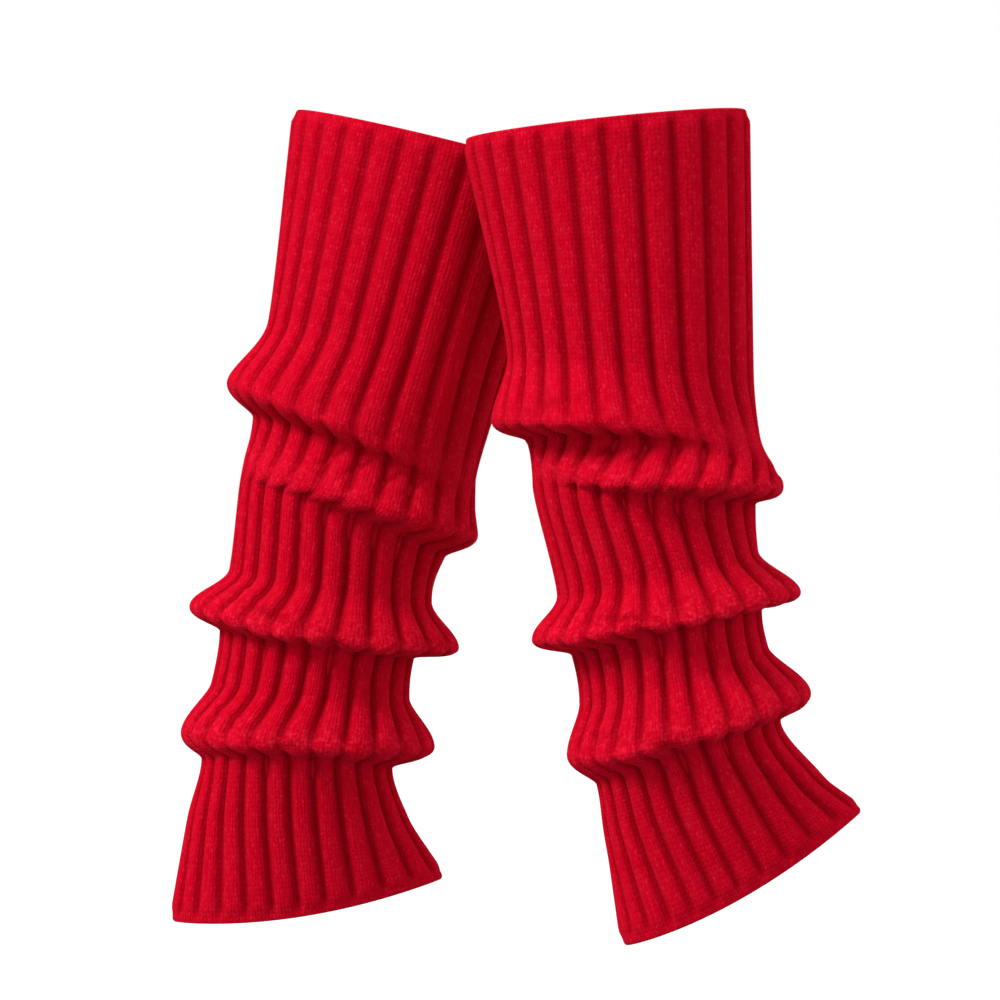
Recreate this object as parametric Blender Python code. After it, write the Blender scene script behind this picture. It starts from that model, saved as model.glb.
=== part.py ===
"""A pair of rib-knit leg warmers, as worn: two slouched hollow tubes, each open at both ends.

The frame's origin is the middle of the front tube's top opening, where its wearer holds it up.
+X is to the viewer's right, +Y is away from the viewer and +Z is up.
"""

from collections import namedtuple

import bmesh
import bpy
import numpy as np

MM = 0.001

# The knit, in millimetres
WALL = 3.0
RIM_ROUND = 1.2
RIM_INSET = 0.9

# Plain bands along both edges, where the ribs fade out
TOP_BAND = 4.5
HEM_BAND = 6.0

# The ribs run the whole length, with a narrow groove between two broad crowns.
# RIB_CROWD draws them together on the left side, and RIB_EVENING spaces them evenly round a flattened ring.
RIBS = 24
GROOVE_SHARE = 0.44
RIB_CROWD = 0.10
RIB_EVENING = 0.36

# Mesh density
OUTER_PER_RIB = 3
INNER_PER_RIB = 1
FOLD_ROWS = 3
PLAIN_ROWS = 2

# Where the rear tube's top opening lies from the front one's, in millimetres
REAR_PLACE = (-80.0, 82.0, -2.5)

# One ring of cloth, in millimetres from the middle of its own tube's top opening.
# left and right: the two sides' x and z. front and back: how far the ring reaches each way in depth.
# front_sag and back_sag: how far its middle hangs below a straight line from side to side.
# above and below: how far the cloth runs straight along the tube before it bends to the next ring.
# turn: degrees that the ribs have slid round the leg.
# skew: how far the ring's right half stands out, in front and behind, and its left half draws in.
# groove: how deep the ribs' grooves are.
Ring = namedtuple(
    "Ring",
    "name left_x left_z right_x right_z front back front_sag back_sag above below turn skew groove",
)

FRONT_RINGS = [
    #    name       left x  left z right x right z front  back sag f sag b above below  turn  skew groove
    Ring("opening",  -63.5,   -7.3,   65.5,    6.2, 50.0, 50.0,  0.0,  0.0,  0.0, 30.0,  2.5,  0.0, 1.6),
    Ring("calf",     -43.5, -104.0,   67.3, -111.5, 48.0, 48.0,  0.0,  2.0, 14.0,  8.0,  5.5,  0.0, 1.8),
    Ring("fold_1",   -50.5, -132.0,   70.0, -139.5, 55.0, 54.0, -1.0,  2.5,  7.5,  7.0, -2.0, -2.5, 1.0),
    Ring("tuck_1",   -35.4, -141.0,   76.3, -153.0, 45.5, 45.0, -5.5,  1.0,  3.0,  5.0,  4.0,  2.5, 1.4),
    Ring("fold_2",   -32.4, -153.0,   80.5, -162.0, 55.0, 51.0,  3.0,  0.0,  5.0,  7.0, 14.0,  2.0, 1.0),
    Ring("tuck_2",   -31.8, -162.5,   68.0, -170.0, 44.0, 43.0,  0.0, -1.0,  3.0,  9.0, 13.0, -2.0, 1.4),
    Ring("waist_3",  -21.0, -211.0,   69.3, -190.5, 43.0, 42.0,  0.0,  2.0,  8.0,  7.0,  9.5,  0.0, 1.8),
    Ring("fold_3",   -32.3, -230.7,   88.5, -209.5, 52.0, 52.0,  1.5,  5.0,  7.0,  6.0, 11.0, -1.2, 1.0),
    Ring("tuck_3",   -14.5, -237.7,   71.0, -216.0, 43.5, 41.0,  0.0,  4.0,  3.0,  7.0,  8.0,  1.2, 1.3),
    Ring("waist_4",  -11.0, -259.5,   74.0, -234.0, 42.0, 40.0,  0.0,  0.0,  7.0,  6.0,  8.0,  0.0, 1.8),
    Ring("fold_4",   -16.5, -282.7,   93.0, -255.0, 49.0, 49.0,  3.0, -3.0,  8.0,  7.0, 12.0,  0.0, 1.0),
    Ring("tuck_4",    -3.3, -295.7,   79.5, -266.7, 39.5, 38.0, -2.5, -7.0,  3.0,  7.0,  8.0,  0.0, 1.4),
    Ring("flare",      0.0, -318.0,   97.0, -290.0, 34.0, 34.0,  0.0,  0.0,  8.0,  8.0,  8.0,  0.0, 1.8),
    Ring("hem",        7.5, -367.0,  116.0, -305.5, 28.0, 28.0,  7.0,  7.0, 14.0,  0.0,  0.5,  0.0, 1.6),
]

REAR_RINGS = [
    #    name       left x  left z right x right z front  back sag f sag b above below  turn  skew groove
    Ring("opening",  -63.5,   15.2,   63.0,  -14.8, 50.0, 50.0,  0.0,  0.0,  0.0, 30.0, -4.5,  0.0, 1.6),
    Ring("calf",     -75.0,  -82.0,   37.0, -105.5, 48.0, 48.0,  0.0,  2.0, 14.0, 12.0,  2.0,  0.0, 1.8),
    Ring("fold_1",   -94.0, -111.0,   21.6, -157.0, 55.0, 54.0, -1.0,  1.0,  7.5,  7.0, -3.0, -2.0, 1.0),
    Ring("tuck_1",   -82.0, -126.5,   21.5, -168.5, 46.0, 47.0, -5.0, -1.0,  3.0,  5.0,  1.0,  2.0, 1.4),
    Ring("fold_2",   -86.0, -146.5,   23.0, -182.0, 56.0, 52.0,  1.0,  0.0,  5.0,  7.0,  6.0,  2.0, 1.0),
    Ring("tuck_2",   -88.0, -157.5,    7.5, -192.0, 45.0, 44.0, -3.5, -2.0,  3.0,  9.0,  8.0, -2.0, 1.4),
    Ring("waist_3",  -93.0, -197.5,    1.5, -213.0, 44.0, 43.0,  0.0,  2.0,  8.0,  7.0,  5.0,  0.0, 1.8),
    Ring("fold_3",  -111.5, -215.0,   14.0, -234.5, 53.5, 53.0,  3.5,  5.0,  7.0,  6.0,  8.0,  0.0, 1.0),
    Ring("tuck_3",   -97.5, -226.3,   -7.0, -239.5, 44.0, 42.0,  1.0,  4.0,  3.0,  7.0,  4.0,  0.0, 1.4),
    Ring("waist_4", -101.5, -250.5,   -9.0, -257.5, 43.0, 41.0,  0.0,  0.0,  7.0,  6.0,  4.0,  0.0, 1.8),
    Ring("fold_4",  -115.5, -274.0,    2.5, -280.7, 50.0, 50.0,  0.0, -3.0,  8.0,  7.0, 11.0,  0.0, 1.0),
    Ring("tuck_4",  -106.0, -286.0,  -17.0, -290.5, 41.5, 40.0, -4.0, -7.0,  3.0,  7.0,  3.5,  0.0, 1.4),
    Ring("flare",   -112.5, -312.5,   -9.5, -313.5, 36.0, 36.0,  0.0,  0.0,  8.0,  7.0,  3.0,  0.0, 1.8),
    Ring("hem",     -121.0, -360.0,    7.3, -339.5, 29.0, 29.0,  6.5,  6.5, 14.0,  0.0,  3.0,  0.0, 1.6),
]


def rib_angles(per_rib, places):
    """Angles round the ring, 0 at its right side and a quarter turn at its front."""
    turns = np.array([(rib + place) / RIBS for rib in range(RIBS) for place in places[:per_rib]])
    even = 2 * np.pi * turns
    return even + RIB_CROWD * (np.sin(even) - 1)


def ring_points(ring, angles):
    """Points of one ring of cloth at the given angles."""
    left = np.array((ring.left_x, 0.0, ring.left_z))
    right = np.array((ring.right_x, 0.0, ring.right_z))
    half_width = np.linalg.norm(right - left) / 2
    half_depth = (ring.front + ring.back) / 2
    flatness = (half_width - half_depth) / (half_width + half_depth)
    turned = angles + np.radians(ring.turn)
    turned += RIB_EVENING * flatness * np.sin(2 * turned)
    points = (left + right) / 2 + np.outer(np.cos(turned), (right - left) / 2)
    in_front = np.sin(turned) > 0
    points[:, 1] -= np.where(in_front, ring.front, ring.back) * np.sin(turned)
    points[:, 1] -= ring.skew * np.sin(2 * turned)
    points[:, 2] -= np.where(in_front, ring.front_sag, ring.back_sag) * np.sin(turned) ** 2
    return points


def unit(vectors):
    return vectors / np.linalg.norm(vectors, axis=-1, keepdims=True)


def downward(keys):
    """The cloth's direction through each ring: upright where it turns back in or out, else a smooth slope."""
    drop = keys[:-1, :, 2:] - keys[1:, :, 2:]
    slope = (keys[1:, :, :2] - keys[:-1, :, :2]) / drop
    before, after = slope[:-1], slope[1:]
    same_way = before * after > 0
    total = np.where(same_way, before + after, 1.0)
    mean = np.where(same_way, 2 * before * after / total, 0.0)
    sideways = np.concatenate((slope[:1], mean, slope[-1:]))
    return unit(np.concatenate((sideways, -np.ones_like(keys[:, :, 2:])), axis=2))


def cloth(rings, angles, steps):
    """Points of the outer crowns, one row a step. Step 0 is the opening and each whole step is a ring."""
    keys = np.array([ring_points(ring, angles) for ring in rings])
    down = downward(keys)
    last = len(rings) - 1
    rows = []
    for step in steps:
        i = min(int(step), last - 1)
        t = step - i
        start, end = keys[i], keys[i + 1]
        leave = start + down[i] * rings[i].below
        arrive = end - down[i + 1] * rings[i + 1].above
        rows.append(
            (1 - t) ** 3 * start + 3 * t * (1 - t) ** 2 * leave + 3 * t * t * (1 - t) * arrive + t**3 * end
        )
    return np.array(rows)


def outward(rings, angles, steps):
    """The cloth's outward directions at the same points, from its slopes round the ring and down it."""
    nudge = 0.001
    last = len(rings) - 1
    around = cloth(rings, angles + nudge, steps) - cloth(rings, angles - nudge, steps)
    lower = [min(step + nudge, last) for step in steps]
    upper = [max(step - nudge, 0) for step in steps]
    along = cloth(rings, angles, lower) - cloth(rings, angles, upper)
    return unit(np.cross(around, along))


def groove_depths(rings, points, steps):
    """Depth of a groove's floor at each point, fading to nothing in the plain bands at both ends."""
    depth = np.interp(steps, range(len(rings)), [ring.groove for ring in rings])
    from_top = np.linalg.norm(points - points[0], axis=-1)
    from_hem = np.linalg.norm(points - points[-1], axis=-1)
    fade = np.clip(from_top / TOP_BAND, 0, 1) * np.clip(from_hem / HEM_BAND, 0, 1)
    return depth[:, None] * fade


def mesh_steps(rings):
    """Where the mesh has its rows: more round a fold, and one where the ribs begin at each end.

    A curve leaves its first ring at three handle lengths a step, which gives the bands' two steps.
    """
    steps = [0.0, TOP_BAND / (3 * rings[0].below)]
    for i, (ring, following) in enumerate(zip(rings, rings[1:])):
        rows = FOLD_ROWS if "fold" in ring.name + following.name else PLAIN_ROWS
        steps += [i + (k + 1) / rows for k in range(rows)]
    steps.insert(-1, len(rings) - 1 - HEM_BAND / (3 * rings[-1].above))
    return steps


def rim_row(points, normals, away, depth):
    """A row that rounds a rim over, raised past the edge and set this far into the wall."""
    return points - normals * depth + away * RIM_ROUND


def tube_mesh(rings):
    """Vertices and faces of one closed wall: the ribbed outside, the plain inside and the two rims."""
    half_groove = GROOVE_SHARE / 2
    outer_places = (0.0, half_groove, 1 - half_groove)
    outer_angles = rib_angles(OUTER_PER_RIB, outer_places)
    inner_angles = rib_angles(INNER_PER_RIB, (0.0,))
    steps = mesh_steps(rings)

    outer = cloth(rings, outer_angles, steps)
    outer_normals = outward(rings, outer_angles, steps)
    in_groove = np.tile([1.0, 0.0, 0.0], RIBS)
    relief = groove_depths(rings, outer, steps) * in_groove
    grooved = outer - outer_normals * relief[..., None]

    inner_base = cloth(rings, inner_angles, steps)
    inner_normals = outward(rings, inner_angles, steps)
    inner = inner_base - inner_normals * WALL

    top_away = unit(outer[0] - outer[1]).mean(axis=0)
    hem_away = unit(outer[-1] - outer[-2]).mean(axis=0)
    top_rim = rim_row(outer[0], outer_normals[0], top_away, RIM_INSET)
    hem_rim = rim_row(outer[-1], outer_normals[-1], hem_away, RIM_INSET)
    top_inner_rim = rim_row(inner_base[0], inner_normals[0], top_away, WALL - RIM_INSET)
    hem_inner_rim = rim_row(inner_base[-1], inner_normals[-1], hem_away, WALL - RIM_INSET)

    loops = [top_rim, *grooved, hem_rim, hem_inner_rim, *inner[::-1], top_inner_rim]
    vertices = np.vstack(loops)
    starts = np.cumsum([0] + [len(loop) for loop in loops])
    faces = []
    for i, loop in enumerate(loops):
        following = (i + 1) % len(loops)
        faces += faces_between(starts[i], len(loop), starts[following], len(loops[following]))
    return vertices, faces


def faces_between(first, first_count, second, second_count):
    """Faces between two closed rows of points, one of which may have a few times as many as the other."""
    if first_count == second_count:
        return [
            (first + i, first + (i + 1) % first_count, second + (i + 1) % first_count, second + i)
            for i in range(first_count)
        ]
    if first_count < second_count:
        return [face[::-1] for face in faces_between(second, second_count, first, first_count)]
    ratio = first_count // second_count
    faces = []
    for i in range(second_count):
        near, far = second + i, second + (i + 1) % second_count
        fan = [first + (i * ratio + k) % first_count for k in range(ratio + 1)]
        turn_over = (ratio + 1) // 2
        faces += [(fan[k], fan[k + 1], near) for k in range(turn_over)]
        faces.append((fan[turn_over], far, near))
        faces += [(fan[k], fan[k + 1], far) for k in range(turn_over, ratio)]
    return faces


def knit_material():
    material = bpy.data.materials.new("red_rib_knit")
    material.use_nodes = True
    shader = material.node_tree.nodes["Principled BSDF"]
    shader.inputs["Base Color"].default_value = (0.53, 0.002, 0.010, 1)
    shader.inputs["Roughness"].default_value = 0.92
    shader.inputs["Metallic"].default_value = 0.0
    return material


def leg_warmer(name, rings, place, material):
    """One knitted tube as a closed solid, at its place in the pair."""
    vertices, faces = tube_mesh(rings)
    mesh = bpy.data.meshes.new(name)
    mesh.from_pydata([tuple(point * MM) for point in vertices], [], faces)
    work = bmesh.new()
    work.from_mesh(mesh)
    bmesh.ops.recalc_face_normals(work, faces=work.faces)
    work.to_mesh(mesh)
    work.free()
    mesh.shade_smooth()
    mesh.materials.append(material)
    tube = bpy.data.objects.new(name, mesh)
    tube.location = [side * MM for side in place]
    bpy.context.scene.collection.objects.link(tube)
    return tube


def main():
    for old in list(bpy.data.objects):
        bpy.data.objects.remove(old)
    material = knit_material()
    leg_warmer("front_leg_warmer", FRONT_RINGS, (0.0, 0.0, 0.0), material)
    leg_warmer("rear_leg_warmer", REAR_RINGS, REAR_PLACE, material)


main()
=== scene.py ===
import math
from collections import namedtuple

import bpy
import numpy as np
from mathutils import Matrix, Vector


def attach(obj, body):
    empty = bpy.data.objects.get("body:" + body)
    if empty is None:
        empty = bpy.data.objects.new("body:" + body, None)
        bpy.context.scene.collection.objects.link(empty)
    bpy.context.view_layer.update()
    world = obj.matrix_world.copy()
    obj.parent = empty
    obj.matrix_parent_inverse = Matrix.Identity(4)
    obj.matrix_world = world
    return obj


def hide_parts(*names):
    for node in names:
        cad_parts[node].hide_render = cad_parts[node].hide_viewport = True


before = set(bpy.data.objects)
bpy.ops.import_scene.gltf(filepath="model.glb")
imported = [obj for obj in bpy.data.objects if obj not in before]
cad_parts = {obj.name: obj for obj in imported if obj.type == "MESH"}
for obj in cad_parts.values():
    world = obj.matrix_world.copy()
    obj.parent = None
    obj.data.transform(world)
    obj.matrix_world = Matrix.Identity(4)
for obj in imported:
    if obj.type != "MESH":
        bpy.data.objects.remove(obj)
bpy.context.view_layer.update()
bpy.ops.object.select_all(action="DESELECT")
print("nodes:", sorted(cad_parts))

# %% [markdown]
# A leg warmer is one knitted tube. It has no seams or pieces, so its whole form is told by rings of cloth
# round the leg. A fold ring is a lip that hangs over, and a tuck ring is the cloth drawn in under that lip.
# A ring's columns say where its left and right sides lie, how far it reaches to the front and to the back
# and hangs down there, how straight the cloth runs above and below it, and how many degrees its ribs have
# turned. Skew is how far its right half stands out while its left half draws in. Groove is how deep the
# grooves are between its ribs. The sizes are in millimetres from the middle of each tube's top opening, and
# they are the solids' own, so the knitted wall lies where the solid is. Only the grooves have their own
# depths, because they are rounder here.
# %% Rings of cloth
Ring = namedtuple(
    "Ring",
    "name left_x left_z right_x right_z front back front_sag back_sag above below turn skew groove",
)

FRONT_RINGS = [
    #    name       left x  left z right x right z front  back sag f sag b above below  turn  skew groove
    Ring("opening",  -63.5,   -7.3,   65.5,    6.2, 50.0, 50.0,  0.0,  0.0,  0.0, 30.0,  2.5,  0.0, 2.1),
    Ring("calf",     -43.5, -104.0,   67.3, -111.5, 48.0, 48.0,  0.0,  2.0, 14.0,  8.0,  5.5,  0.0, 2.6),
    Ring("fold_1",   -50.5, -132.0,   70.0, -139.5, 55.0, 54.0, -1.0,  2.5,  7.5,  7.0, -2.0, -2.5, 0.9),
    Ring("tuck_1",   -35.4, -141.0,   76.3, -153.0, 45.5, 45.0, -5.5,  1.0,  3.0,  5.0,  4.0,  2.5, 2.6),
    Ring("fold_2",   -32.4, -153.0,   80.5, -162.0, 55.0, 51.0,  3.0,  0.0,  5.0,  7.0, 14.0,  2.0, 0.8),
    Ring("tuck_2",   -31.8, -162.5,   68.0, -170.0, 44.0, 43.0,  0.0, -1.0,  3.0,  9.0, 13.0, -2.0, 2.7),
    Ring("waist_3",  -21.0, -211.0,   69.3, -190.5, 43.0, 42.0,  0.0,  2.0,  8.0,  7.0,  9.5,  0.0, 2.7),
    Ring("fold_3",   -32.3, -230.7,   88.5, -209.5, 52.0, 52.0,  1.5,  5.0,  7.0,  6.0, 11.0, -1.2, 1.1),
    Ring("tuck_3",   -14.5, -237.7,   71.0, -216.0, 43.5, 41.0,  0.0,  4.0,  3.0,  7.0,  8.0,  1.2, 2.6),
    Ring("waist_4",  -11.0, -259.5,   74.0, -234.0, 42.0, 40.0,  0.0,  0.0,  7.0,  6.0,  8.0,  0.0, 2.7),
    Ring("fold_4",   -16.5, -282.7,   93.0, -255.0, 49.0, 49.0,  3.0, -3.0,  8.0,  7.0, 12.0,  0.0, 1.1),
    Ring("tuck_4",    -3.3, -295.7,   79.5, -266.7, 39.5, 38.0, -2.5, -7.0,  3.0,  7.0,  8.0,  0.0, 2.5),
    Ring("flare",      0.0, -318.0,   97.0, -290.0, 34.0, 34.0,  0.0,  0.0,  8.0,  8.0,  8.0,  0.0, 2.6),
    Ring("hem",        7.5, -367.0,  116.0, -305.5, 28.0, 28.0,  7.0,  7.0, 14.0,  0.0,  0.5,  0.0, 2.1),
]

REAR_RINGS = [
    #    name       left x  left z right x right z front  back sag f sag b above below  turn  skew groove
    Ring("opening",  -63.5,   15.2,   63.0,  -14.8, 50.0, 50.0,  0.0,  0.0,  0.0, 30.0, -4.5,  0.0, 1.6),
    Ring("calf",     -75.0,  -82.0,   37.0, -105.5, 48.0, 48.0,  0.0,  2.0, 14.0, 12.0,  2.0,  0.0, 2.4),
    Ring("fold_1",   -94.0, -111.0,   21.6, -157.0, 55.0, 54.0, -1.0,  1.0,  7.5,  7.0, -3.0, -2.0, 0.9),
    Ring("tuck_1",   -82.0, -126.5,   21.5, -168.5, 46.0, 47.0, -5.0, -1.0,  3.0,  5.0,  1.0,  2.0, 2.6),
    Ring("fold_2",   -86.0, -146.5,   23.0, -182.0, 56.0, 52.0,  1.0,  0.0,  5.0,  7.0,  6.0,  2.0, 0.8),
    Ring("tuck_2",   -88.0, -157.5,    7.5, -192.0, 45.0, 44.0, -3.5, -2.0,  3.0,  9.0,  8.0, -2.0, 2.7),
    Ring("waist_3",  -93.0, -197.5,    1.5, -213.0, 44.0, 43.0,  0.0,  2.0,  8.0,  7.0,  5.0,  0.0, 2.7),
    Ring("fold_3",  -111.5, -215.0,   14.0, -234.5, 53.5, 53.0,  3.5,  5.0,  7.0,  6.0,  8.0,  0.0, 1.1),
    Ring("tuck_3",   -97.5, -226.3,   -7.0, -239.5, 44.0, 42.0,  1.0,  4.0,  3.0,  7.0,  4.0,  0.0, 2.6),
    Ring("waist_4", -101.5, -250.5,   -9.0, -257.5, 43.0, 41.0,  0.0,  0.0,  7.0,  6.0,  4.0,  0.0, 2.7),
    Ring("fold_4",  -115.5, -274.0,    2.5, -280.7, 50.0, 50.0,  0.0, -3.0,  8.0,  7.0, 11.0,  0.0, 1.1),
    Ring("tuck_4",  -106.0, -286.0,  -17.0, -290.5, 41.5, 40.0, -4.0, -7.0,  3.0,  7.0,  3.5,  0.0, 2.5),
    Ring("flare",   -112.5, -312.5,   -9.5, -313.5, 36.0, 36.0,  0.0,  0.0,  8.0,  7.0,  3.0,  0.0, 2.6),
    Ring("hem",     -121.0, -360.0,    7.3, -339.5, 29.0, 29.0,  6.5,  6.5, 14.0,  0.0,  3.0,  0.0, 2.1),
]
print("rings:", len(FRONT_RINGS), len(REAR_RINGS))

# %% [markdown]
# The knit has 24 broad ribs with a narrow groove between two of them, and four columns of stitches, or
# wales, to a rib. The mesh has three columns to a wale. Rows lie closer together where the cloth turns over
# a lip than on the plain stretches, because a tight bend shows its facets first, and the smooth inside needs
# the fewest. The row sizes are in millimetres, and they keep each wall under 200,000 triangles.
# %% Knit sizes
RIBS = 24
WALES_PER_RIB = 4
WALES = RIBS * WALES_PER_RIB
COLUMNS_PER_WALE = 3
COLUMNS = WALES * COLUMNS_PER_WALE
PLAIN_ROW = 2.1
LIP_ROW = 1.2
INNER_ROW = 9.0
INNER_LIP_ROW = 4.5
print("mesh columns:", COLUMNS, "wales:", WALES)

# %% [markdown]
# Every place round the leg is counted in ribs. A rib's angle finds its place on the ring, which is an
# ellipse with a reach of its own to the front and to the back. The ribs are drawn a little together on the
# left side, and they stay evenly spaced where the ring is flatter than it is round.
# %% Points of one ring
RIB_CROWD = 0.10
RIB_EVENING = 0.36


def rib_angle(ribs_round):
    """The angle of a place counted in ribs: 0 at the right side, a quarter turn at the front."""
    even = 2 * np.pi * ribs_round / RIBS
    return even + RIB_CROWD * (np.sin(even) - 1)


def ring_points(ring, angles):
    left = np.array((ring.left_x, 0.0, ring.left_z))
    right = np.array((ring.right_x, 0.0, ring.right_z))
    half_width = np.linalg.norm(right - left) / 2
    half_depth = (ring.front + ring.back) / 2
    flatness = (half_width - half_depth) / (half_width + half_depth)
    turned = angles + np.radians(ring.turn)
    turned = turned + RIB_EVENING * flatness * np.sin(2 * turned)
    points = (left + right) / 2 + np.outer(np.cos(turned), (right - left) / 2)
    in_front = np.sin(turned) > 0
    points[:, 1] -= np.where(in_front, ring.front, ring.back) * np.sin(turned)
    points[:, 1] -= ring.skew * np.sin(2 * turned)
    points[:, 2] -= np.where(in_front, ring.front_sag, ring.back_sag) * np.sin(turned) ** 2
    return points


sides = ring_points(FRONT_RINGS[0], rib_angle(np.array((0, RIBS / 2))))
print("front opening, ribs 0 and 12:", sides.round(1).tolist())

# %% [markdown]
# Between two rings the cloth runs along a cubic curve, as in the solid. The curve leaves each ring in the
# direction of the cloth there, which is straight down wherever the cloth turns back at a fold or a tuck.
# %% Cloth between the rings


def unit(vectors):
    return vectors / np.linalg.norm(vectors, axis=-1, keepdims=True)


def downward(keys):
    """The cloth's direction through each ring: upright where it turns back, else a smooth slope."""
    drop = keys[:-1, :, 2:] - keys[1:, :, 2:]
    slope = (keys[1:, :, :2] - keys[:-1, :, :2]) / drop
    before, after = slope[:-1], slope[1:]
    same_way = before * after > 0
    total = np.where(same_way, before + after, 1.0)
    mean = np.where(same_way, 2 * before * after / total, 0.0)
    sideways = np.concatenate((slope[:1], mean, slope[-1:]))
    return unit(np.concatenate((sideways, -np.ones_like(keys[:, :, 2:])), axis=2))


def cloth(rings, angles, steps):
    """Rows of points: step 0 is the opening and each whole step is the next ring."""
    keys = np.array([ring_points(ring, angles) for ring in rings])
    down = downward(keys)
    rows = []
    for step in steps:
        i = min(int(step), len(rings) - 2)
        t = step - i
        leave = keys[i] + down[i] * rings[i].below
        arrive = keys[i + 1] - down[i + 1] * rings[i + 1].above
        rows.append(
            (1 - t) ** 3 * keys[i]
            + 3 * t * (1 - t) ** 2 * leave
            + 3 * t * t * (1 - t) * arrive
            + t**3 * keys[i + 1]
        )
    return np.array(rows)


hems = [cloth(rings, rib_angle(np.arange(RIBS)), (len(rings) - 1,)) for rings in (FRONT_RINGS, REAR_RINGS)]
print("lowest points of the hems, mm:", [round(hem[..., 2].min(), 1) for hem in hems])

# %% [markdown]
# The relief stands out from the plain cloth, so each of its points needs the direction out of the cloth. It
# is square to a small move round the leg and a small move down it.
# %% Outward directions


def outward(rings, angles, steps):
    """The direction out of the cloth at each of those points."""
    nudge = 0.001
    around = cloth(rings, angles + nudge, steps) - cloth(rings, angles - nudge, steps)
    last = len(rings) - 1
    lower = [min(step + nudge, last) for step in steps]
    upper = [max(step - nudge, 0) for step in steps]
    along = cloth(rings, angles, lower) - cloth(rings, angles, upper)
    return unit(np.cross(around, along))


print("out of the front opening's right side:", outward(FRONT_RINGS, np.zeros(1), (0,)).round(2).tolist())

# %% [markdown]
# Some rings are far apart and some are close together. The rows between two rings are counted from the
# real length of the cloth there, so that no stretch of the mesh is coarser than its neighbours.
# %% Rows along the cloth
LENGTH_SAMPLES = 9


def row_steps(rings, plain_row, lip_row):
    """Steps spaced by the cloth's real length between rings, closer together beside a fold."""
    every_other_rib = rib_angle(np.arange(0, RIBS, 2.0))
    steps = [0.0]
    for i, (ring, following) in enumerate(zip(rings, rings[1:])):
        run = cloth(rings, every_other_rib, np.linspace(i, i + 1, LENGTH_SAMPLES))
        length = np.linalg.norm(np.diff(run, axis=0), axis=-1).sum(axis=0).mean()
        row = lip_row if "fold" in ring.name + following.name else plain_row
        count = math.ceil(length / row)
        steps += [i + (k + 1) / count for k in range(count)]
    return np.array(steps)


print("rows outside:", [len(row_steps(rings, PLAIN_ROW, LIP_ROW)) for rings in (FRONT_RINGS, REAR_RINGS)])

# %% [markdown]
# The relief is what makes it rib knit. A groove is narrow at its bottom and opens in soft shoulders, and the
# crown between two grooves is broad and slightly domed. The grooves fade out in a plain band at each edge,
# where the knitter cast on and bound off, and there the yarn is tight and draws the edge in.
# %% Rib relief
GROOVE_REACH = 0.28
SHOULDER_SHARE = 0.25
CROWN_DOME = 0.30
FULL_GROOVE = 2.6
HALF_RIB = 0.5
TOP_BAND = 4.5
HEM_BAND = 6.0
EDGE_DRAW = 1.3


def smooth(x):
    x = np.clip(x, 0, 1)
    return x * x * (3 - 2 * x)


def groove_depths(rings, steps):
    """How deep a groove is at each row. It keeps its depth until close above a lip."""
    grooves = np.array([ring.groove for ring in rings])
    to_lip = np.array(["fold" in ring.name for ring in rings[1:]])
    span = np.minimum(steps.astype(int), len(rings) - 2)
    share = steps - span
    share = np.where(to_lip[span], share**3, share)
    return grooves[span] * (1 - share) + grooves[span + 1] * share


def rib_relief(rings, points, steps, ribs_round):
    """How far each point stands out from the crowns, and how far down in a groove it is, which sets its
    painted shade.
    """
    from_groove = np.abs((ribs_round + HALF_RIB) % 1 - HALF_RIB)
    valley = 0.5 + 0.5 * np.cos(np.pi * np.clip(from_groove / GROOVE_REACH, 0, 1))
    shoulder = (1 - from_groove / HALF_RIB) ** 2
    valley = (1 - SHOULDER_SHARE) * valley + SHOULDER_SHARE * shoulder
    dome = np.sin(np.pi * np.clip(from_groove / HALF_RIB, 0, 1) / 2) ** 2
    depth = groove_depths(rings, steps)
    from_top = np.linalg.norm(points - points[0], axis=-1)
    from_hem = np.linalg.norm(points - points[-1], axis=-1)
    fade = smooth(from_top / TOP_BAND) * smooth(from_hem / HEM_BAND)
    groove = depth[:, None] * valley
    relief = fade * (CROWN_DOME * dome - groove) - EDGE_DRAW * (1 - fade)
    return relief, fade * groove / FULL_GROOVE


whole_steps = np.arange(len(FRONT_RINGS))
print("groove depths of the front rings, mm:", groove_depths(FRONT_RINGS, whole_steps).tolist())

# %% [markdown]
# Slouched knit also has creases of its own. Short dark pockets run down the grooves from under a lip, and a
# lip hangs lower in some places than in others. Every dent is also darkened with painted shade. Each is
# listed with the ring and rib it is at, how far it reaches down the cloth and to each side, how much it leans
# to the left as it goes down, and how deep it is. A depth below zero is a ridge. Ribs 0 to 12 are the front
# half, and the hidden back half has ones like those in front.
# %% Creases
Crease = namedtuple("Crease", "name step rib reach width lean depth")

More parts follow.
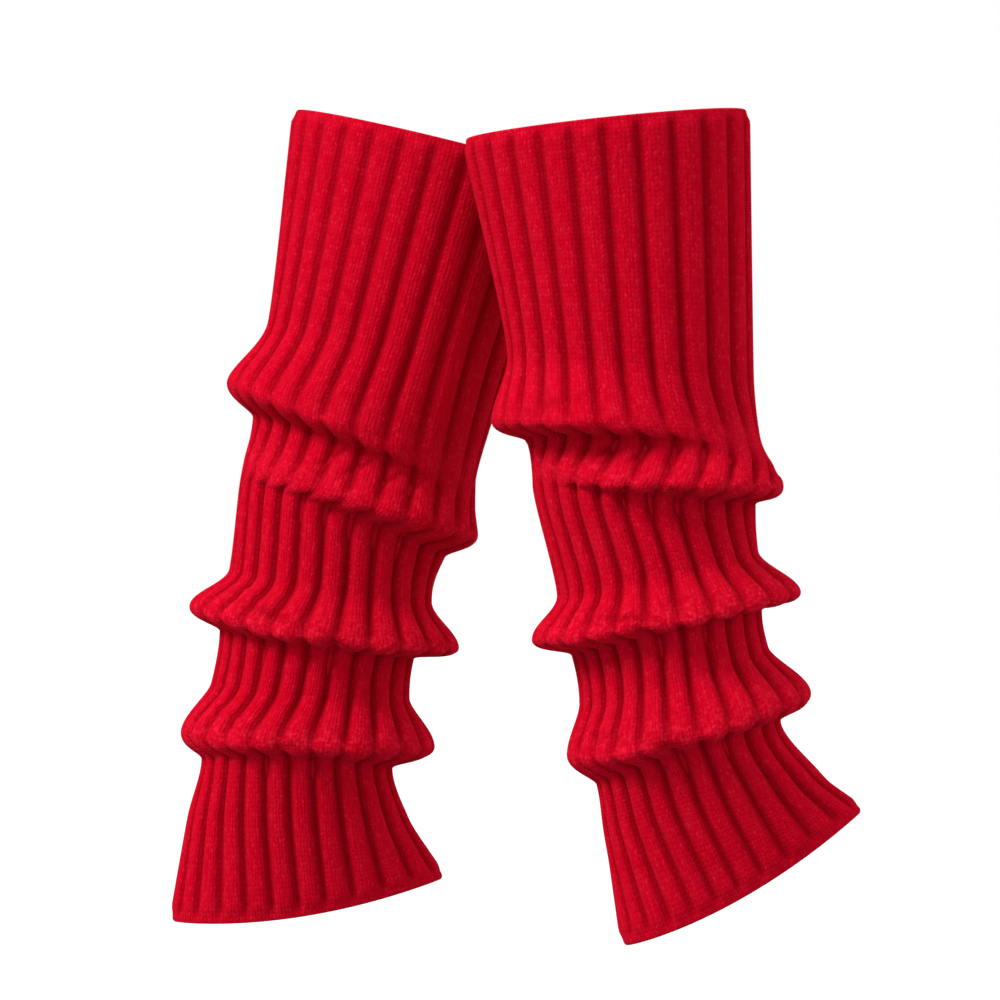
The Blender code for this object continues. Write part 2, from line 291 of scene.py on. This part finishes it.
FRONT_CREASES = [
    #      name               step    rib  reach width lean depth
    Crease("pocket_1a",       3.30,   6.0,  5.5,  2.0,  0.8,  1.3),
    Crease("pocket_1b",       3.30,   5.0,  5.5,  2.1,  0.6,  1.3),
    Crease("pocket_1c",       3.30,   4.0,  5.5,  2.1,  0.1,  1.3),
    Crease("pocket_1d",       3.30,   7.2,  5.5,  2.4,  0.9,  1.3),
    Crease("pocket_1e",       3.20,   2.9,  5.0,  1.8, -0.5,  0.8),
    Crease("soft_roll_1",     2.00,   7.8,  4.0, 15.0,  0.0, -1.0),
    Crease("soft_dip_1",      1.70,   8.5,  3.0, 14.0,  0.0,  0.6),
    Crease("pocket_2a",       5.12,   6.2,  6.5,  2.6, -0.2,  1.2),
    Crease("pocket_2b",       5.12,   5.1,  8.0,  2.2, -0.1,  1.2),
    Crease("pocket_2c",       5.12,   4.1,  6.0,  2.6,  0.0,  1.2),
    Crease("pocket_2d",       5.12,   3.1,  7.0,  2.3, -0.2,  1.2),
    Crease("lip_2_low",       4.20,   6.9,  3.5,  9.0,  0.0, -1.2),
    Crease("lip_2_high",      4.20,   4.6,  3.0,  8.0,  0.0,  0.9),
    Crease("roll_above_3",    6.55,   7.6,  2.6, 13.0,  0.0, -1.0),
    Crease("dip_above_3",     6.75,   6.6,  2.2, 11.0,  0.0,  0.9),
    Crease("lip_3_low",       7.15,   8.6,  4.0,  8.0,  0.0, -1.3),
    Crease("lip_3_high",      7.10,   6.2,  3.0,  7.0,  0.0,  1.0),
    Crease("lip_3_knob",      7.10,   4.7,  3.5,  8.0,  0.0, -1.2),
    Crease("pocket_3a",       8.20,   5.9,  6.0,  2.6,  0.1,  1.2),
    Crease("pocket_3b",       8.20,   3.9,  7.0,  2.3,  0.0,  1.1),
    Crease("roll_above_4",    9.60,   8.3,  2.6, 12.0,  0.0, -1.0),
    Crease("lip_4_high",     10.10,   6.0,  3.4,  8.0,  0.0,  1.2),
    Crease("lip_4_low",      10.15,   7.6,  3.6,  8.0,  0.0, -1.3),
    Crease("lip_4_knob",     10.10,   4.4,  3.4,  7.0,  0.0, -1.0),
    Crease("pocket_4a",      11.15,   6.0,  7.0,  2.5,  0.0,  1.2),
    Crease("pocket_4b",      11.15,   4.0,  6.0,  2.2, -0.2,  1.1),
    Crease("back_pocket_1a",  3.30,  17.0,  5.5,  2.1, -0.5,  1.2),
    Crease("back_pocket_1b",  3.30,  18.9,  5.5,  2.3, -0.7,  1.2),
    Crease("back_lip_2",      4.15,  16.2,  3.5, 10.0,  0.0, -1.2),
    Crease("back_pocket_2",   5.12,  19.1,  7.0,  2.4,  0.2,  1.2),
    Crease("back_lip_3",      7.10,  17.8,  3.6,  9.0,  0.0, -1.2),
    Crease("back_dip_3",      7.10,  20.1,  3.0,  8.0,  0.0,  1.0),
    Crease("back_pocket_3",   8.05,  16.0,  6.5,  2.4,  0.0,  1.5),
    Crease("back_lip_4",     10.10,  18.6,  3.6,  8.0,  0.0, -1.3),
    Crease("back_pocket_4",  11.05,  17.0,  7.0,  2.3,  0.1,  1.5),
]

REAR_CREASES = [
    #      name               step    rib  reach width lean depth
    Crease("pocket_1a",       3.35,   6.9,  5.5,  2.2,  0.8,  1.3),
    Crease("pocket_1b",       3.35,   5.9,  5.5,  2.2,  0.9,  1.3),
    Crease("pocket_1c",       3.35,   4.8,  5.5,  2.3,  0.8,  1.3),
    Crease("pocket_1d",       3.35,   4.0,  5.5,  2.2,  0.5,  1.3),
    Crease("pocket_1e",       3.20,   3.0,  6.0,  2.0,  0.2,  0.9),
    Crease("soft_roll_1",     1.95,   6.5,  4.0, 16.0,  0.0, -1.1),
    Crease("lip_1_low",       2.10,   4.9,  4.0,  7.0,  0.0, -0.8),
    Crease("lip_2_left",      3.80,   7.8,  3.0, 12.0,  0.0, -1.2),
    Crease("pocket_2a",       5.12,   7.0,  7.0,  2.5,  0.0,  1.2),
    Crease("pocket_2b",       5.12,   6.0,  6.0,  2.6,  0.1,  1.2),
    Crease("pocket_2c",       5.12,   5.0,  8.0,  2.4,  0.0,  1.2),
    Crease("pocket_2d",       5.12,   4.0,  7.0,  2.6, -0.1,  1.2),
    Crease("pocket_2e",       5.12,   2.9,  6.0,  2.2,  0.0,  1.2),
    Crease("lip_2_low",       4.15,   4.4,  3.5,  9.0,  0.0, -1.2),
    Crease("roll_above_3",    6.45,   8.2,  2.4, 12.0,  0.0, -1.1),
    Crease("dip_above_3",     6.70,   7.2,  2.2, 12.0,  0.0,  1.0),
    Crease("second_roll_3",   6.60,   4.6,  2.4, 11.0,  0.0, -0.8),
    Crease("lip_3_low",       7.15,   6.9,  4.0,  9.0,  0.0, -1.6),
    Crease("lip_3_high",      7.10,   5.0,  3.2,  7.0,  0.0,  1.2),
    Crease("lip_3_knob",      7.10,   3.6,  3.5,  8.0,  0.0, -1.1),
    Crease("pocket_3a",       8.20,   7.8,  6.0,  2.4,  0.2,  1.2),
    Crease("pocket_3b",       8.20,   5.0,  7.0,  2.6,  0.0,  1.1),
    Crease("roll_above_4",    9.55,   8.4,  2.4, 12.0,  0.0, -1.0),
    Crease("lip_4_low",      10.10,   7.7,  3.4,  8.0,  0.0, -1.2),
    Crease("lip_4_high",     10.10,   5.9,  3.2,  8.0,  0.0,  1.1),
    Crease("lip_4_knob",     10.10,   3.9,  3.6,  9.0,  0.0, -1.2),
    Crease("pocket_4a",      11.15,   6.9,  6.0,  2.4,  0.1,  1.2),
    Crease("pocket_4b",      11.15,   4.9,  7.0,  2.4,  0.0,  1.1),
    Crease("back_pocket_1a",  3.30,  16.1,  6.0,  2.2, -0.7,  1.2),
    Crease("back_pocket_1b",  3.30,  18.0,  6.0,  2.2, -0.6,  1.2),
    Crease("back_lip_1",      2.10,  19.2,  4.0,  8.0,  0.0, -1.2),
    Crease("back_pocket_2",   5.12,  17.0,  7.0,  2.4,  0.1,  1.2),
    Crease("back_lip_3",      7.10,  16.6,  3.6,  9.0,  0.0, -1.3),
    Crease("back_dip_3",      7.10,  18.9,  3.0,  7.0,  0.0,  1.0),
    Crease("back_pocket_3",   8.05,  20.0,  6.5,  2.4,  0.0,  1.5),
    Crease("back_lip_4",     10.10,  17.5,  3.6,  8.0,  0.0, -1.2),
    Crease("back_pocket_4",  11.05,  19.0,  7.0,  2.3,  0.0,  1.4),
]
print("creases:", len(FRONT_CREASES), len(REAR_CREASES))

# %% [markdown]
# A crease is a soft dent or ridge on the one face of the cloth that it was placed on, so it must not show
# through on the other side of a fold. Its depth falls off down the cloth and to each side.
# %% Crease relief
FULL_CREASE = 1.4


def crease_relief(rings, creases, points, normals):
    """How deep the creases are at each point, and how much painted shade each point gets in a dent."""
    depth = np.zeros(points.shape[:2])
    dent_painted_shade = np.zeros(points.shape[:2])
    nudge = 0.01
    for crease in creases:
        angles = rib_angle(np.array((crease.rib - nudge, crease.rib, crease.rib + nudge)))
        near = cloth(rings, angles, (crease.step - nudge, crease.step, crease.step + nudge))
        middle = near[1, 1]
        down = unit(near[2, 1] - near[0, 1])
        side = unit(near[1, 2] - near[1, 0])
        out = np.cross(side, down)
        along = (points - middle) @ down
        aside = (points - middle) @ side - crease.lean * along
        same_face = smooth(normals @ out)
        weight = same_face * np.exp(-((along / crease.reach) ** 2) - (aside / crease.width) ** 2)
        depth += crease.depth * weight
        # A dent, but not a ridge, also gets painted shade, which the material mixes towards a deeper red.
        dent_painted_shade += max(crease.depth, 0) / FULL_CREASE * weight
    return depth, np.clip(dent_painted_shade, 0, 1)


depths = [crease.depth for crease in FRONT_CREASES + REAR_CREASES]
print("deepest crease and highest ridge, mm:", max(depths), -min(depths))

# %% [markdown]
# The wall is 3 mm thick on its ribs and thinner at its two drawn-in edges, where the outside turns over in a
# round rim and runs on as the inside. Where a lip turns, fibres stand up and it gets pale mottles of painted
# highlight, most of all on the third one. That share is kept for each row, and the material reads it.
# %% Rims and lips with painted highlight
WALL = 3.0
EDGE_WALL = WALL - EDGE_DRAW
RIM_ROWS = 5
RIM_ROUND = 1.5
LIP_REACH = 0.45
# How much painted highlight and fuzz the turn of each fold gets.
LIP_HIGHLIGHT_AND_FUZZ = {"fold_1": 0.3, "fold_2": 0.7, "fold_3": 1.0, "fold_4": 0.9}


def rim(points, normals, away):
    """Rows that carry the cloth round an edge, from its outer face to its inner face."""
    middle = points - normals * EDGE_WALL / 2
    rows = []
    for turn in np.pi * np.arange(1, RIM_ROWS + 1) / (RIM_ROWS + 1):
        rows.append(middle + normals * EDGE_WALL / 2 * np.cos(turn) + away * RIM_ROUND * np.sin(turn))
    return rows


def lip_highlight_and_fuzz(rings, steps):
    """How much painted highlight and fuzz a row gets: most on the turn of a fold, where fibres stand up from
    it.
    """
    return sum(
        LIP_HIGHLIGHT_AND_FUZZ[ring.name] * np.exp(-(((steps - i) / LIP_REACH) ** 2))
        for i, ring in enumerate(rings)
        if ring.name in LIP_HIGHLIGHT_AND_FUZZ
    )


print("rubbed share at the front rings:", lip_highlight_and_fuzz(FRONT_RINGS, whole_steps).round(2).tolist())

# %% [markdown]
# All rows of the wall make one flat list, as a piece of knitting is one flat sheet of rows. It starts on the
# inside of the top edge, goes over the rim, down the outside, round the hem and back up the inside.
# %% Rows of the wall


def wall_rows(rings, creases):
    """The rows of points, the painted shade of each point in a groove or dent, and how much painted highlight
    and fuzz each row gets.
    """
    ribs_round = np.arange(COLUMNS + 1) * RIBS / COLUMNS
    angles = rib_angle(ribs_round)
    steps = row_steps(rings, PLAIN_ROW, LIP_ROW)
    crowns = cloth(rings, angles, steps)
    normals = outward(rings, angles, steps)
    relief, valley = rib_relief(rings, crowns, steps, ribs_round)
    creased, dent_painted_shade = crease_relief(rings, creases, crowns, normals)
    outside = crowns + normals * (relief - creased)[..., None]
    # A point takes the painted shade of its groove or of its dent, whichever is deeper.
    shaded = np.maximum(valley, dent_painted_shade)

    back_steps = row_steps(rings, INNER_ROW, INNER_LIP_ROW)
    inside = cloth(rings, angles, back_steps) - outward(rings, angles, back_steps) * WALL

    top_away = unit(crowns[0] - crowns[1]).mean(axis=0)
    hem_away = unit(crowns[-1] - crowns[-2]).mean(axis=0)
    top_rim = rim(outside[0], normals[0], top_away)
    hem_rim = rim(outside[-1], normals[-1], hem_away)
    rows = [inside[0], *top_rim[::-1], *outside, *hem_rim, *inside[::-1]]
    plain = [np.zeros(COLUMNS + 1)]
    painted_shade_share = plain * (1 + RIM_ROWS) + list(shaded) + plain * (RIM_ROWS + len(inside))
    on_lip = lip_highlight_and_fuzz(rings, steps)
    lips = [0.0] * (1 + RIM_ROWS) + list(on_lip) + [0.0] * (RIM_ROWS + len(inside))
    return np.array(rows), np.array(painted_shade_share), np.array(lips)


front_wall = wall_rows(FRONT_RINGS, FRONT_CREASES)
rear_wall = wall_rows(REAR_RINGS, REAR_CREASES)
print("rows in all:", len(front_wall[0]), len(rear_wall[0]))

# %% [markdown]
# The wall starts as a flat grid, which is what a piece of knitting is: columns of stitches one way and rows
# the other. It is rolled into a tube by moving its points. Its first and last rows meet, and so do its first
# and last columns, and merging them closes it. The grid's own UV map then follows the stitches everywhere.
# Only the map's rows are spaced anew, by the cloth's real length, so that all stitches are equally tall.
# %% Roll a flat knit into a tube
MM = 0.001
REAR_PLACE = (-80.0, 82.0, -2.5)
MERGE_DISTANCE = 0.00001
STITCH_MAP = "stitch_map"


def mark(mesh, name, values):
    """Keeps one number at each point of the mesh, for the material to read."""
    mesh.attributes.new(name, "FLOAT", "POINT").data.foreach_set("value", values)


def space_stitch_map(mesh, rows):
    """Spaces the UV map's rows by the cloth's real length, and returns that length."""
    lengths = np.linalg.norm(np.diff(rows, axis=0), axis=-1).mean(axis=1)
    down_cloth = np.concatenate(([0.0], np.cumsum(lengths)))
    uv_layer = mesh.uv_layers.active
    uv_layer.name = STITCH_MAP
    uv = np.zeros(len(uv_layer.data) * 2)
    uv_layer.data.foreach_get("uv", uv)
    row = uv[1::2] * (len(rows) - 1)
    uv[1::2] = np.interp(row, range(len(rows)), down_cloth / down_cloth[-1])
    uv_layer.data.foreach_set("uv", uv)
    return down_cloth[-1]


def knit_tube(name, wall, place):
    rows, painted_shade_share, lips = wall
    last_row = len(rows) - 1
    bpy.ops.mesh.primitive_grid_add(x_subdivisions=COLUMNS, y_subdivisions=last_row, size=1, calc_uvs=True)
    tube = bpy.context.object
    mesh = tube.data
    tube.name = mesh.name = name
    flat = np.zeros(len(mesh.vertices) * 3)
    mesh.vertices.foreach_get("co", flat)
    flat = flat.reshape(-1, 3)
    column = np.rint((flat[:, 0] + 0.5) * COLUMNS).astype(int)
    row = np.rint((flat[:, 1] + 0.5) * last_row).astype(int)
    rolled = (rows[row, column] + np.array(place)) * MM
    mesh.vertices.foreach_set("co", rolled.ravel())
    # The groove mark is painted shade: how far the material darkens each point towards a deeper red.
    mark(mesh, "groove", painted_shade_share[row, column])
    # The lip mark sets each row's painted highlight on the lips and their fuzz.
    mark(mesh, "lip", lips[row])
    tube["cloth_length"] = space_stitch_map(mesh, rows)

    bpy.ops.object.mode_set(mode="EDIT")
    bpy.ops.mesh.select_all(action="SELECT")
    bpy.ops.mesh.remove_doubles(threshold=MERGE_DISTANCE)
    bpy.ops.mesh.normals_make_consistent(inside=False)
    bpy.ops.object.mode_set(mode="OBJECT")
    bpy.ops.object.shade_smooth()
    print(name, "triangles:", 2 * len(mesh.polygons), "cloth, out and in:", round(tube["cloth_length"]), "mm")
    return tube


front_knit = knit_tube("front_knit", front_wall, (0.0, 0.0, 0.0))
rear_knit = knit_tube("rear_knit", rear_wall, REAR_PLACE)

# %% [markdown]
# The yarn is a soft acrylic. Everything finer than the ribs and creases is drawn by nodes. These helpers add
# a node, fill its inputs and give back its outputs, so that the groups below read like sums.
# %% Node helpers
NUMBER = "NodeSocketFloat"
VECTOR = "NodeSocketVector"
COLOUR = "NodeSocketColor"
Fade = namedtuple("Fade", "start full most")


def node(tree, kind, inputs=(), **settings):
    """Adds a node, sets its settings and fills its inputs with values or with other nodes' outputs."""
    made = tree.nodes.new(kind)
    for key, value in settings.items():
        setattr(made, key, value)
    for key, value in dict(inputs).items():
        if isinstance(value, bpy.types.NodeSocket):
            tree.links.new(value, made.inputs[key])
        else:
            made.inputs[key].default_value = value
    return made.outputs


def math_node(tree, operation, *values, clamp=False):
    inputs = dict(enumerate(values))
    return node(tree, "ShaderNodeMath", inputs, operation=operation, use_clamp=clamp)[0]


def vector_node(tree, operation, *values):
    return node(tree, "ShaderNodeVectorMath", dict(enumerate(values)), operation=operation)[0]


def noise(tree, vector, scale, detail=2.0):
    return node(tree, "ShaderNodeTexNoise", {"Vector": vector, "Scale": scale, "Detail": detail})


def faded(tree, value, fade):
    """Nothing up to the fade's start, then evenly more until the most where it is full."""
    inputs = {"Value": value, "From Min": fade.start, "From Max": fade.full, "To Max": fade.most}
    return node(tree, "ShaderNodeMapRange", inputs)[0]


def mixed_colour(tree, share, colour, other):
    return node(tree, "ShaderNodeMix", {0: share, 6: colour, 7: other}, data_type="RGBA")[2]


def group(name, inputs, outputs):
    """An empty shader node group with named inputs and outputs."""
    tree = bpy.data.node_groups.new(name, "ShaderNodeTree")
    for label, kind in inputs.items():
        tree.interface.new_socket(label, in_out="INPUT", socket_type=kind)
    for label, kind in outputs.items():
        tree.interface.new_socket(label, in_out="OUTPUT", socket_type=kind)
    return tree, tree.nodes.new("NodeGroupInput").outputs, tree.nodes.new("NodeGroupOutput").inputs


# %% [markdown]
# Seen close, each stitch is a V of two slanting strands. The V is far too fine for mesh, so a node group
# draws it as a height for the Bump node. It reads the UV map, so that it follows every fold, and a noise
# moves each place by up to a quarter of a stitch, because no knit is quite even. The group also puts out a
# random shade for each strand, and longer strokes of colour along the yarn.
# %% Stitches as a node group
NOISE_MIDDLE = (0.5, 0.5, 0.5)
WANDER = (0.5, 0.5, 0.0)
WANDER_SCALE = 220.0
WALE_MIDDLE = 0.5
V_SLANT = 0.9
LEG_MIDDLE = 0.25
LEG_NARROWING = 11.0
BULGE = 0.5
STRAND_STEP = 0.3
STROKE_REPEATS = (2.1, 0.4, 1.0)


def stitch_group():
    tree, given, put = group(
        "knit_stitches",
        {"Stitch Map": VECTOR, "Place": VECTOR, "Wales": NUMBER, "Courses": NUMBER},
        {"Height": NUMBER, "Shade": NUMBER, "Strokes": NUMBER},
    )
    repeats = node(tree, "ShaderNodeCombineXYZ", {"X": given["Wales"], "Y": given["Courses"]})[0]
    counted = vector_node(tree, "MULTIPLY", given["Stitch Map"], repeats)
    wander = noise(tree, given["Place"], WANDER_SCALE, detail=1.0)["Color"]
    off = vector_node(tree, "SUBTRACT", wander, NOISE_MIDDLE)
    uneven = node(tree, "ShaderNodeSeparateXYZ", {0: vector_node(tree, "MULTIPLY_ADD", off, WANDER, counted)})
    wale = uneven["X"]
    course = uneven["Y"]

    across = math_node(tree, "SUBTRACT", math_node(tree, "FRACT", wale), WALE_MIDDLE)
    aside = math_node(tree, "ABSOLUTE", across)
    slanted = math_node(tree, "MULTIPLY_ADD", aside, V_SLANT, course)
    along = math_node(tree, "FRACT", slanted)
    swell = math_node(tree, "SINE", math_node(tree, "MULTIPLY", along, math.pi))
    swollen = math_node(tree, "MULTIPLY_ADD", swell, BULGE, 1 - BULGE)
    off_leg = math_node(tree, "SUBTRACT", aside, LEG_MIDDLE)
    off_leg_squared = math_node(tree, "MULTIPLY", off_leg, off_leg)
    leg = math_node(tree, "MULTIPLY_ADD", off_leg_squared, -LEG_NARROWING, 1.0, clamp=True)
    tree.links.new(math_node(tree, "MULTIPLY", leg, swollen), put["Height"])

    side = math_node(tree, "SIGN", across)
    strand = math_node(tree, "MULTIPLY_ADD", side, STRAND_STEP, math_node(tree, "FLOOR", wale))
    cell = node(tree, "ShaderNodeCombineXYZ", {"X": strand, "Y": math_node(tree, "FLOOR", slanted)})[0]
    shade = node(tree, "ShaderNodeTexWhiteNoise", {"Vector": cell}, noise_dimensions="3D")["Value"]
    tree.links.new(shade, put["Shade"])
    strokes = noise(tree, vector_node(tree, "MULTIPLY", counted, STROKE_REPEATS), scale=1.0)["Fac"]
    tree.links.new(strokes, put["Strokes"])
    return tree


knit_stitches = stitch_group()
print("group:", knit_stitches.name)

# %% [markdown]
# The finish is matt with a soft nap. Colour changes from stitch to stitch, fibres catch the light as small
# pale flecks, a lip's turn gets pale mottles of painted highlight, and the grooves and dents get painted
# shade in a deeper red. A second node group makes that colour, and adds the fibres to the height of the
# stitches.
# %% Yarn colour with painted light as a node group
# The deepest red is painted shade for the grooves and dents, and the pale red also paints highlights on the
# lips.
PAINTED_SHADE_RED = (0.20, 0.0002, 0.0030, 1)
MID_RED = (0.48, 0.0004, 0.0120, 1)
PALE_RED = (0.84, 0.016, 0.045, 1)
# How far a full groove is painted towards the shade red.
GROOVE_PAINTED_SHADE = 0.82
FIBRE_SCALE = 1800.0
CLOUD_SCALE = 60.0
MOTTLE_SCALE = 460.0
FLECKS = Fade(0.26, 0.62, 0.6)
CLOUDS = Fade(0.35, 0.7, 0.08)
STREAKS = Fade(0.42, 0.72, 0.16)
# Pale mottles of painted highlight where a lip turns.
LIP_HIGHLIGHTS = Fade(0.48, 0.66, 0.5)
STITCH_HEIGHT = 0.55
FIBRE_HEIGHT = 0.45
STROKE_HEIGHT = 0.4
LIP_FUZZ_HEIGHT = 0.6


def yarn_group():
    tree, given, put = group(
        "yarn_with_painted_light",
        {
            "Place": VECTOR,
            "Height": NUMBER,
            "Shade": NUMBER,
            "Strokes": NUMBER,
            # Groove is the share of painted shade, and Lip the share of painted highlight and fuzz.
            "Groove": NUMBER,
            "Lip": NUMBER,
        },
        {"Color": COLOUR, "Height": NUMBER},
    )
    fibres = noise(tree, given["Place"], FIBRE_SCALE)["Fac"]
    clouds = noise(tree, given["Place"], CLOUD_SCALE, detail=3.0)["Fac"]
    highlight_and_fuzz = noise(tree, given["Place"], MOTTLE_SCALE, detail=3.0)["Fac"]

    lit = math_node(tree, "MULTIPLY", given["Height"], given["Shade"])
    fleck = faded(tree, math_node(tree, "MULTIPLY", lit, fibres), FLECKS)
    uneven = math_node(tree, "ADD", faded(tree, clouds, CLOUDS), faded(tree, given["Strokes"], STREAKS))
    # Random tone, plus pale mottles of painted highlight where a lip turns.
    soft = math_node(tree, "MULTIPLY_ADD", faded(tree, highlight_and_fuzz, LIP_HIGHLIGHTS), given["Lip"], uneven)
    pale = math_node(tree, "ADD", fleck, soft, clamp=True)
    # Painted shade: the grooves and dents are mixed towards the deep red.
    dark = math_node(tree, "MULTIPLY", given["Groove"], GROOVE_PAINTED_SHADE)
    yarn = mixed_colour(tree, pale, MID_RED, PALE_RED)
    tree.links.new(mixed_colour(tree, dark, yarn, PAINTED_SHADE_RED), put["Color"])

    stitched = math_node(tree, "MULTIPLY", given["Height"], STITCH_HEIGHT)
    fuzzy = math_node(tree, "MULTIPLY_ADD", fibres, FIBRE_HEIGHT, stitched)
    stranded = math_node(tree, "MULTIPLY_ADD", given["Strokes"], STROKE_HEIGHT, fuzzy)
    lip_fuzz = math_node(tree, "MULTIPLY", highlight_and_fuzz, given["Lip"])
    tree.links.new(math_node(tree, "MULTIPLY_ADD", lip_fuzz, LIP_FUZZ_HEIGHT, stranded), put["Height"])
    return tree


yarn_with_painted_light = yarn_group()
print("group:", yarn_with_painted_light.name)

# %% [markdown]
# Both leg warmers wear the same knit. Each has a material of its own, because its count of courses, which
# are the rows of stitches, follows from its own length. The shader is rough, with a little sheen where the
# surface turns away.
# %% Red knit material
COURSE = 2.2
BUMP_STRENGTH = 0.8
BUMP_DISTANCE = 0.0007
FINISH = {
    "Roughness": 0.95,
    "Specular IOR Level": 0.0,
    "Sheen Weight": 0.18,
    "Sheen Roughness": 0.5,
    "Sheen Tint": (1.0, 0.05, 0.09, 1),
}


def red_knit(courses):
    material = bpy.data.materials.new("red_rib_knit_yarn")
    material.use_nodes = True
    tree = material.node_tree
    place = node(tree, "ShaderNodeTexCoord")["Object"]
    stitch_map = node(tree, "ShaderNodeUVMap", uv_map=STITCH_MAP)["UV"]
    counts = {"Stitch Map": stitch_map, "Place": place, "Wales": WALES, "Courses": courses}
    stitches = node(tree, "ShaderNodeGroup", counts, node_tree=knit_stitches)
    worn = {
        "Place": place,
        "Height": stitches["Height"],
        "Shade": stitches["Shade"],
        "Strokes": stitches["Strokes"],
        # The groove mark is the painted shade of the grooves and dents.
        "Groove": node(tree, "ShaderNodeAttribute", attribute_name="groove")["Fac"],
        # The lip mark is the painted highlight and fuzz of the lips.
        "Lip": node(tree, "ShaderNodeAttribute", attribute_name="lip")["Fac"],
    }
    yarn = node(tree, "ShaderNodeGroup", worn, node_tree=yarn_with_painted_light)
    height = {"Strength": BUMP_STRENGTH, "Distance": BUMP_DISTANCE, "Height": yarn["Height"]}
    bump = node(tree, "ShaderNodeBump", height)[0]
    shader = tree.nodes["Principled BSDF"]
    tree.links.new(yarn["Color"], shader.inputs["Base Color"])
    tree.links.new(bump, shader.inputs["Normal"])
    for socket, value in FINISH.items():
        shader.inputs[socket].default_value = value
    return material


for tube in (front_knit, rear_knit):
    courses = tube["cloth_length"] / COURSE
    tube.data.materials.clear()
    tube.data.materials.append(red_knit(courses))
    print(tube.name, "courses of stitches:", round(courses))

# %% [markdown]
# Each knitted wall rides on the one body and stands for its solid, which is hidden. The flat size is the cut:
# the tube opened out, its mean girth by its length with the folds pulled out.
# %% Tie the knit to the frame
FRONT_FLAT = (0.313, 0.395)
REAR_FLAT = (0.320, 0.404)

for tube, solid, flat in (
    (front_knit, "front_leg_warmer", FRONT_FLAT),
    (rear_knit, "rear_leg_warmer", REAR_FLAT),
):
    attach(tube, "root")
    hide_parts(solid)
    print(tube.name, "stands for", solid, "and was cut to", flat, "m")

# %% [markdown]
# The photograph is a cut-out on even white. The floor is below the hems, as it is below the ankles of
# someone who wears them. It is white to the camera, and it throws only a little light back up, because the
# undersides of the folds are dark in the photograph.
# %% White floor
FLOOR_Z = -0.45
FLOOR_SIZE = 30
FLOOR_GLOW = 0.5
WHITE = (1, 1, 1, 1)
PAPER_WHITE = (0.9, 0.9, 0.9, 1)
BOUNCE_GREY = (0.3, 0.3, 0.3, 1)


def seen_apart(tree, lighting, seen):
    """One shader that lights the object with the first of two and shows the camera the second."""
    to_camera = node(tree, "ShaderNodeLightPath")["Is Camera Ray"]
    return node(tree, "ShaderNodeMixShader", {0: to_camera, 1: lighting, 2: seen})[0]


bpy.ops.mesh.primitive_plane_add(size=FLOOR_SIZE, location=(0, 0, FLOOR_Z))
floor = bpy.context.object
floor.name = "floor"
white_paper = bpy.data.materials.new("white_paper")
white_paper.use_nodes = True
paper = white_paper.node_tree
bounced = node(paper, "ShaderNodeBsdfDiffuse", {"Color": BOUNCE_GREY})[0]
shadowed = node(paper, "ShaderNodeBsdfDiffuse", {"Color": PAPER_WHITE})[0]
glow = node(paper, "ShaderNodeEmission", {"Color": WHITE, "Strength": 1.0})[0]
bright = node(paper, "ShaderNodeMixShader", {0: FLOOR_GLOW, 1: shadowed, 2: glow})[0]
paper.links.new(seen_apart(paper, bounced, bright), paper.nodes["Material Output"].inputs["Surface"])
floor.data.materials.append(white_paper)

# %% [markdown]
# The light is soft and comes from the upper left, so the right sides and the places under the lips are
# darker. A weak light from the front fills those shadows, and one from behind on the right lifts the edges.
# %% Soft suns


def soft_sun(name, toward, spread, strength):
    """Light from far away, coming from the direction of that point, with soft-edged shadows."""
    bpy.ops.object.light_add(type="SUN", location=toward)
    light = bpy.context.object
    light.name = name
    light.data.angle = math.radians(spread)
    light.data.energy = strength
    light.rotation_euler = Vector(toward).to_track_quat("Z", "Y").to_euler()
    print(name, "strength:", strength, "spread:", spread, "degrees")


soft_sun("key_light", toward=(-0.80, -0.45, 0.75), spread=20, strength=3.1)
soft_sun("fill_light", toward=(0.05, -0.95, 0.05), spread=50, strength=0.62)
soft_sun("back_light", toward=(0.90, 0.30, 0.25), spread=60, strength=1.05)

# %% [markdown]
# The room is white to the camera as well. It lights the pair from all sides at once, less than it looks, so
# that the suns still shape the folds.
# %% White surroundings
ROOM_LIGHT = 0.70

world = bpy.data.worlds.new("white_studio")
bpy.context.scene.world = world
world.use_nodes = True
studio = world.node_tree
seen = node(studio, "ShaderNodeBackground", {"Color": WHITE, "Strength": 1.0})[0]
lighting = node(studio, "ShaderNodeBackground", {"Color": WHITE, "Strength": ROOM_LIGHT})[0]
studio.links.new(seen_apart(studio, lighting, seen), studio.nodes["World Output"].inputs["Surface"])
print("world:", world.name)

# %% [markdown]
# The camera is level, square on to the pair and far back, as for a catalogue picture. Its width of view at
# the front leg warmer sets the scale of the whole picture.
# %% Camera
VIEW_WIDTH = 0.45
CAMERA_BACK = 2.2
CAMERA_X = -0.0468
CAMERA_Z = -0.16785
SENSOR = 36.0
LEVEL = (math.pi / 2, 0, 0)

bpy.ops.object.camera_add(location=(CAMERA_X, -CAMERA_BACK, CAMERA_Z), rotation=LEVEL)
camera = bpy.context.object
camera.data.sensor_width = SENSOR
camera.data.lens = SENSOR * CAMERA_BACK / VIEW_WIDTH
bpy.context.scene.camera = camera
bpy.context.scene.view_settings.view_transform = "Standard"
print("lens:", round(camera.data.lens, 1), "mm")
